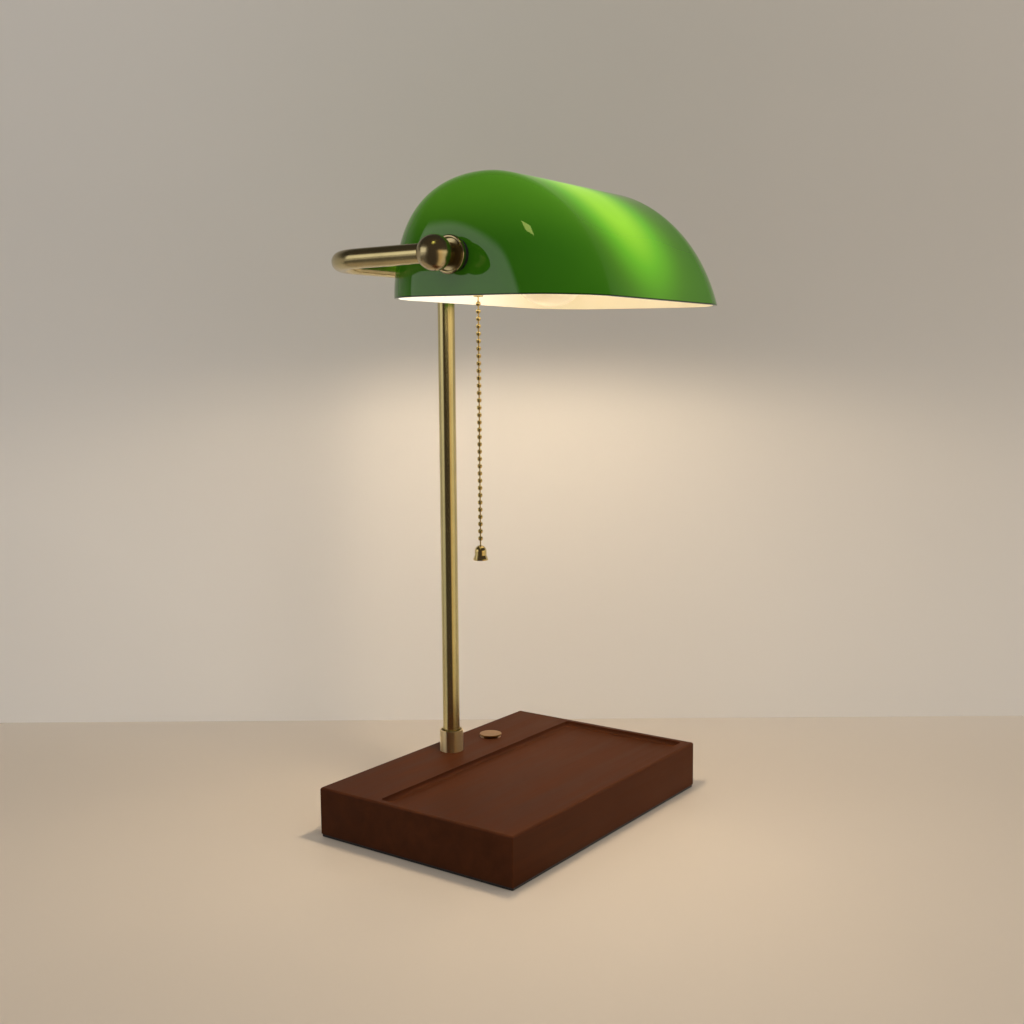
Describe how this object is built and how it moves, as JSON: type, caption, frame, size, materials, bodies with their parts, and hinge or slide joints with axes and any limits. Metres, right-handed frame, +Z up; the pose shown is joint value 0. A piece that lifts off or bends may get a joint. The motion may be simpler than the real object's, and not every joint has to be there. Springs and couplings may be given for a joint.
{
  "type": "bankers lamp with tray base",
  "caption": "Desk lamp with a tilting green cased-glass shade on a bent brass yoke and pole, a pull chain, and a wooden tray base with a push button.",
  "frame": {"origin": "middle of the base's underside, on the surface that the lamp stands on", "axes": "+Z up, +X along the shade to the user's right, +Y from the tray's front edge to the strip that carries the pole"},
  "size_m": [0.2838, 0.2037, 0.4475],
  "materials": {
    "stained_wood": "reddish dark brown stain, soft sheen",
    "felt_pad": "black felt",
    "ballast_iron": "bare",
    "black_plastic": "matte",
    "satin_brass": "satin",
    "antique_brass": "antique, lacquered",
    "polished_brass": "polished",
    "holder_brass": "bright dipped",
    "grommet_rubber": "matte",
    "green_glass": "polished, cased over white",
    "opal_lining": "opal white",
    "zinc_steel": "zinc plated",
    "bulb_aluminium": "bare",
    "bulb_frost": "frosted white",
    "lead_plastic": "matte"
  },
  "bodies": {
    "stand": {"ball_left": "antique_brass", "ball_right": "antique_brass", "ballast_plate": "ballast_iron", "ballast_screws": "zinc_steel", "base_block": "stained_wood", "base_pad": "felt_pad", "bulb_cap": "bulb_aluminium", "bulb_glass": "bulb_frost", "bulb_insulator": "black_plastic", "bulb_tip": "zinc_steel", "button_ferrule": "satin_brass", "button_switch": "black_plastic", "centre_contact": "holder_brass", "chain_guide": "polished_brass", "clamp_nut": "zinc_steel", "clamp_washer_left": "zinc_steel", "clamp_washer_right": "zinc_steel", "cord_gland": "black_plastic", "flange_left": "antique_brass", "flange_right": "antique_brass", "foot_nipple": "zinc_steel", "foot_nut": "zinc_steel", "foot_washer": "zinc_steel", "holder_cap": "holder_brass", "holder_shell": "holder_brass", "inner_lead": "lead_plastic", "pivot_nipple_left": "zinc_steel", "pivot_nipple_right": "zinc_steel", "pole_collar": "satin_brass", "pole_tube": "antique_brass", "screw_shell": "holder_brass", "switch_body": "black_plastic", "top_nipple": "zinc_steel", "yoke_saddle": "antique_brass", "yoke_tube": "antique_brass"},
    "shade": {"shade_glass": "green_glass", "shade_lining": "opal_lining", "grommet_left": "grommet_rubber", "grommet_right": "grommet_rubber"},
    "button": {"button_cap": "satin_brass"},
    "pull": {"pull_link": "polished_brass"},
    "swivel": {"swivel_link": "polished_brass"},
    "chain": {"bead_chain": "polished_brass", "chain_bell": "polished_brass"}
  },
  "joints": [
    {"name": "shade_tilt", "type": "hinge", "parent": "stand", "child": "shade", "pos_m": [0, -0.0352, 0.391], "axis": [1, 0, 0], "range_deg": [-45, 45]},
    {"name": "button_press", "type": "slide", "parent": "stand", "child": "button", "axis": [0, 0, -1], "range_m": [0, 0.001], "stiffness_N_per_m": 1500, "springref_m": -0.001},
    {"name": "chain_pull", "type": "slide", "parent": "stand", "child": "pull", "axis": [0, 0, -1], "range_m": [0, 0.008], "stiffness_N_per_m": 400, "springref_m": -0.004},
    {"name": "chain_side_swing", "type": "hinge", "parent": "pull", "child": "swivel", "pos_m": [-0.0878, -0.0352, 0.3623], "axis": [0, 1, 0], "range_deg": [-20, 20]},
    {"name": "chain_fore_swing", "type": "hinge", "parent": "swivel", "child": "chain", "pos_m": [-0.0878, -0.0352, 0.35765], "axis": [1, 0, 0], "range_deg": [-20, 20]}
  ]
}
